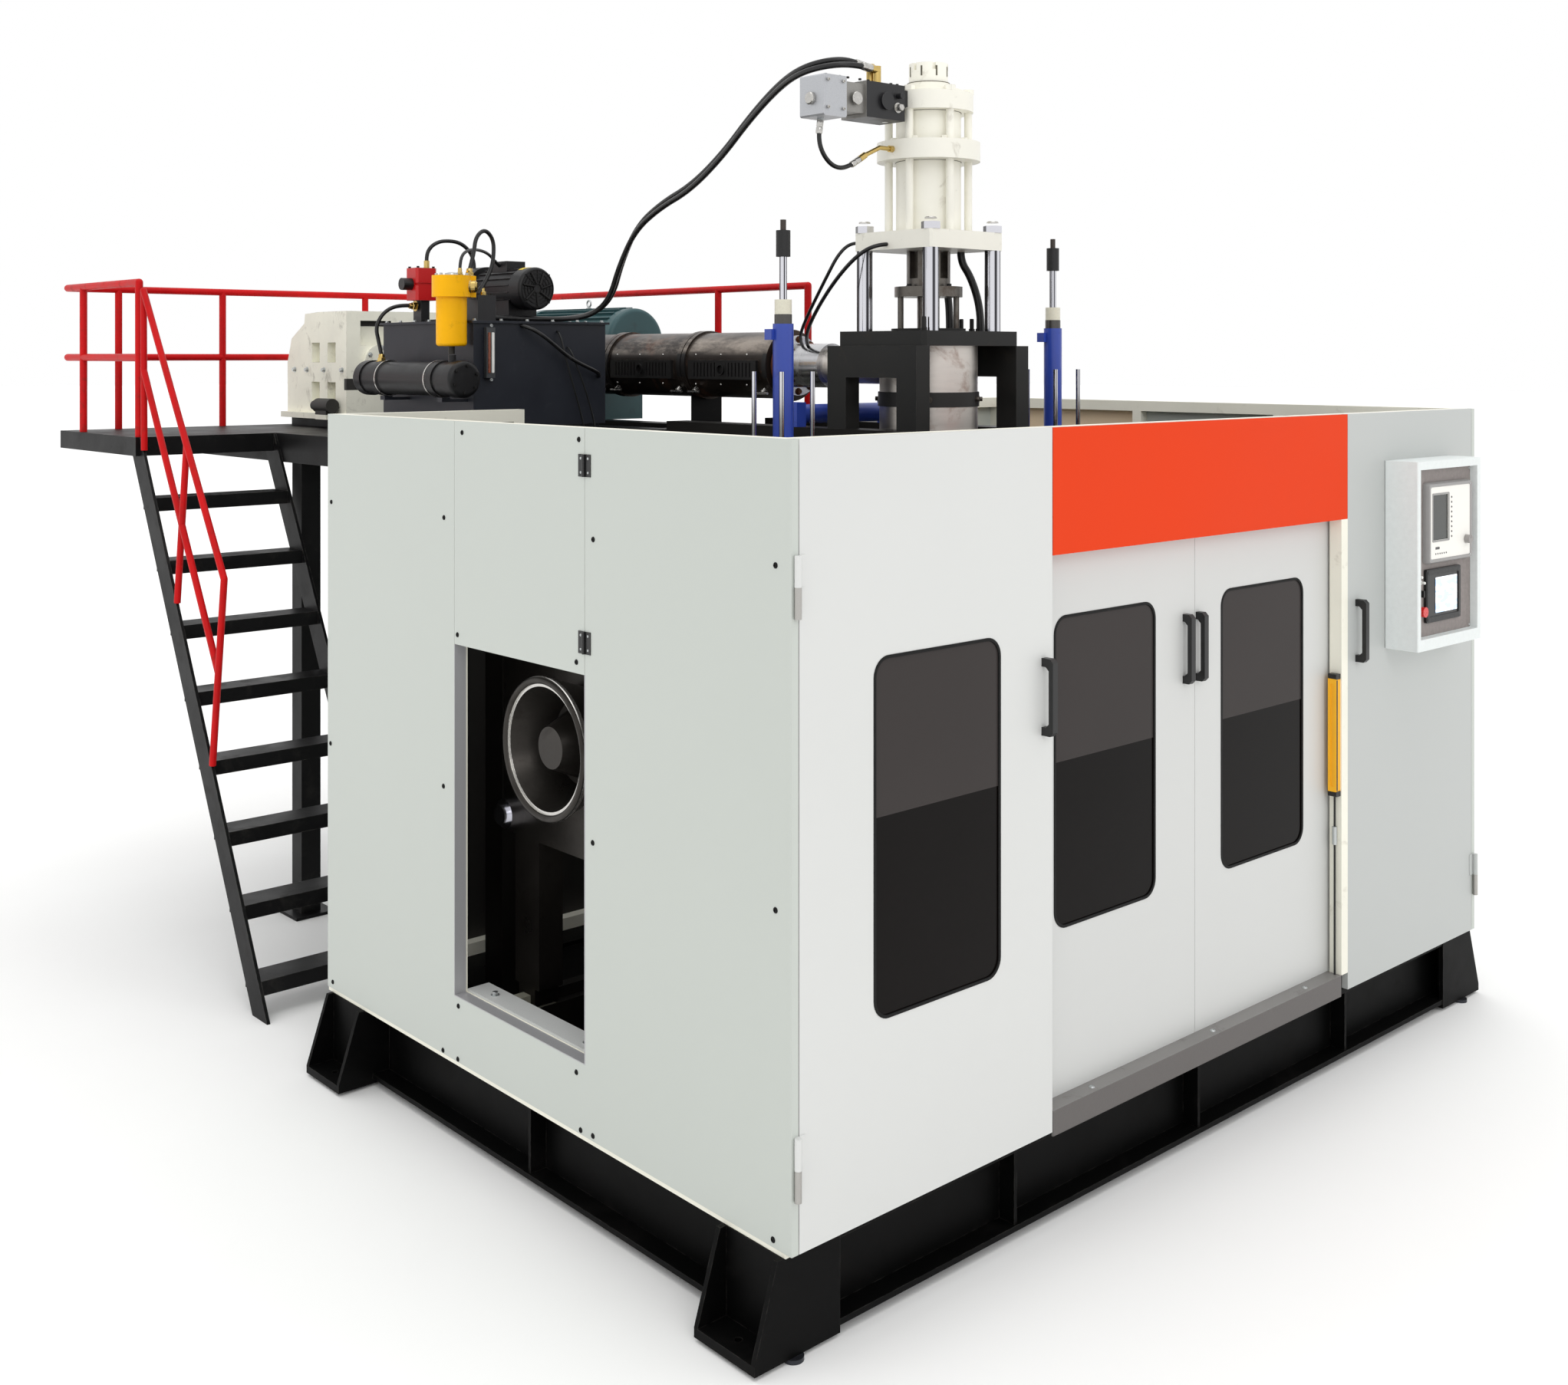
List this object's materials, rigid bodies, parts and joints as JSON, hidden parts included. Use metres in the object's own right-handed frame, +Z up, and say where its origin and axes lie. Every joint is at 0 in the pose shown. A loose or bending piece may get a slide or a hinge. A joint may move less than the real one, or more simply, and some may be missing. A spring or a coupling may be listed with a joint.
{
  "type": "blow moulding machine",
  "caption": "Extrusion blow moulding machine with accumulator head, sheet-metal enclosure, gallery extruder, hydraulic unit and stair.",
  "frame": {"origin": "floor level, at the centre of the four anchor holes in the foot plates", "axes": "+Z up; the operator's side with the sliding doors faces -Y and the extruder gallery lies towards +Y; +X runs from the end opening towards the cabinet door"},
  "size_m": [4.116, 5.676, 3.906],
  "materials": {
    "black_paint": "semi-gloss paint",
    "dark_steel": "oxidised",
    "cream_paint": "satin paint",
    "panel_paint": "fine powder coat",
    "door_paint": "fine powder coat",
    "orange_paint": "gloss paint",
    "track_grey": "satin paint, worn",
    "dark_glass": "smoked",
    "panel_plastic": "moulded",
    "red_plastic": "moulded",
    "black_plastic": "moulded",
    "grey_plastic": "moulded",
    "galvanised": "galvanised",
    "yellow_paint": "satin",
    "red_paint": "gloss paint",
    "bright_steel": "turned",
    "brown_steel": "heat-stained",
    "cream_casting": "painted casting",
    "teal_paint": "satin paint",
    "head_steel": "turned, heat-stained",
    "chrome": "polished",
    "worn_steel": "worn",
    "black_casting": "painted casting",
    "hose_rubber": "smooth cover",
    "slate_paint": "satin paint",
    "amber_paint": "gloss paint",
    "blue_paint": "gloss paint"
  },
  "bodies": {
    "root": {"accumulator_head": "head_steel", "barrel": "bright_steel", "barrel_shrouds": "brown_steel", "base_frame": "black_paint", "blow_pin_stand": "cream_paint", "clamp_bed": "cream_paint", "cooler_hose": "hose_rubber", "door_tracks": "track_grey", "drive_motor": "teal_paint", "electrical_cabinet": "galvanised", "enclosure_frame": "cream_paint", "extruder_bed": "black_paint", "filter_hose": "hose_rubber", "gallery_deck": "black_paint", "gallery_posts": "black_paint", "gallery_railing": "red_paint", "gearbox": "cream_casting", "head_plate": "black_paint", "head_side_frames": "black_paint", "head_tie_rods": "chrome", "header_panel": "orange_paint", "injection_cylinder": "cream_casting", "leveling_pads": "dark_steel", "lift_cylinders": "blue_paint", "light_curtain": "yellow_paint", "main_hose_left": "hose_rubber", "main_hose_right": "hose_rubber", "oil_cooler": "black_casting", "oil_filter": "amber_paint", "oil_tank": "slate_paint", "outer_panels": "panel_paint", "press_frame": "cream_paint", "pressure_manifold": "black_casting", "pump_motor": "black_casting", "stair": "black_paint", "stair_handrail": "red_paint", "valve_block": "black_casting", "valve_hose": "hose_rubber"},
    "service_door": {"service_door": "door_paint", "service_door_window": "dark_glass"},
    "left_door": {"left_sliding_door": "door_paint", "left_door_window": "dark_glass"},
    "right_door": {"right_sliding_door": "door_paint", "right_door_window": "dark_glass"},
    "end_hatch": {"end_hatch": "panel_paint"},
    "cabinet_door": {"cabinet_door": "panel_paint", "control_box": "panel_paint", "operator_panels": "panel_plastic"},
    "stop_button": {"stop_button": "red_plastic"},
    "selector_knob": {"selector_knob": "black_plastic"},
    "dial_knob": {"dial_knob": "grey_plastic"},
    "injection_piston": {"injection_piston": "worn_steel"},
    "extruder_screw": {"extruder_screw": "bright_steel"},
    "seal_carriage_left": {"seal_carriage_left": "chrome"},
    "seal_carriage_right": {"seal_carriage_right": "chrome"},
    "left_platen": {"left_platen": "cream_casting"},
    "right_platen": {"right_platen": "cream_casting", "tie_bars": "chrome", "clamp_end_plate": "worn_steel"},
    "blow_pin": {"blow_pin": "bright_steel"}
  },
  "joints": [
    {"name": "service_door_swing", "type": "hinge", "parent": "root", "child": "service_door", "pos_m": [-1.94, -1.3353, 0], "axis": [0, 0, -1], "range_deg": [0, 110]},
    {"name": "left_door_slide", "type": "slide", "parent": "root", "child": "left_door", "axis": [-1, 0, 0], "range_m": [0, 0.77]},
    {"name": "right_door_slide", "type": "slide", "parent": "root", "child": "right_door", "axis": [1, 0, 0], "range_m": [0, 0.77]},
    {"name": "end_hatch_swing", "type": "hinge", "parent": "root", "child": "end_hatch", "pos_m": [-1.9595, -0.372, 0], "axis": [0, 0, 1], "range_deg": [0, 100]},
    {"name": "cabinet_door_swing", "type": "hinge", "parent": "root", "child": "cabinet_door", "pos_m": [1.94, -1.3353, 0], "axis": [0, 0, 1], "range_deg": [0, 110]},
    {"name": "stop_press", "type": "slide", "parent": "cabinet_door", "child": "stop_button", "axis": [0, 1, 0], "range_m": [0, 0.006], "stiffness_N_per_m": 500, "springref_m": -0.004},
    {"name": "selector_turn", "type": "hinge", "parent": "cabinet_door", "child": "selector_knob", "pos_m": [1.262, -1.435, 1.8], "axis": [0, -1, 0], "range_deg": [-45, 45]},
    {"name": "dial_turn", "type": "hinge", "parent": "cabinet_door", "child": "dial_knob", "pos_m": [1.602, -1.459, 1.993], "axis": [0, -1, 0], "continuous": true},
    {"name": "piston_slide", "type": "slide", "parent": "root", "child": "injection_piston", "axis": [0, 0, -1], "range_m": [0, 0.11]},
    {"name": "screw_turn", "type": "hinge", "parent": "root", "child": "extruder_screw", "pos_m": [0, 0, 2.688], "axis": [0, 1, 0], "continuous": true},
    {"name": "seal_left_slide", "type": "slide", "parent": "root", "child": "seal_carriage_left", "axis": [0, 0, -1], "range_m": [0, 0.15]},
    {"name": "seal_right_slide", "type": "slide", "parent": "root", "child": "seal_carriage_right", "axis": [0, 0, -1], "range_m": [0, 0.15]},
    {"name": "left_platen_slide", "type": "slide", "parent": "root", "child": "left_platen", "axis": [-1, 0, 0], "range_m": [0, 0.23]},
    {"name": "right_platen_slide", "type": "slide", "parent": "root", "child": "right_platen", "axis": [1, 0, 0], "range_m": [0, 0.23]},
    {"name": "blow_pin_slide", "type": "slide", "parent": "root", "child": "blow_pin", "axis": [0, 0, 1], "range_m": [0, 0.18]}
  ],
  "couplings": [
    {"joint": "right_platen_slide", "follows": "left_platen_slide", "ratio": 1}
  ]
}
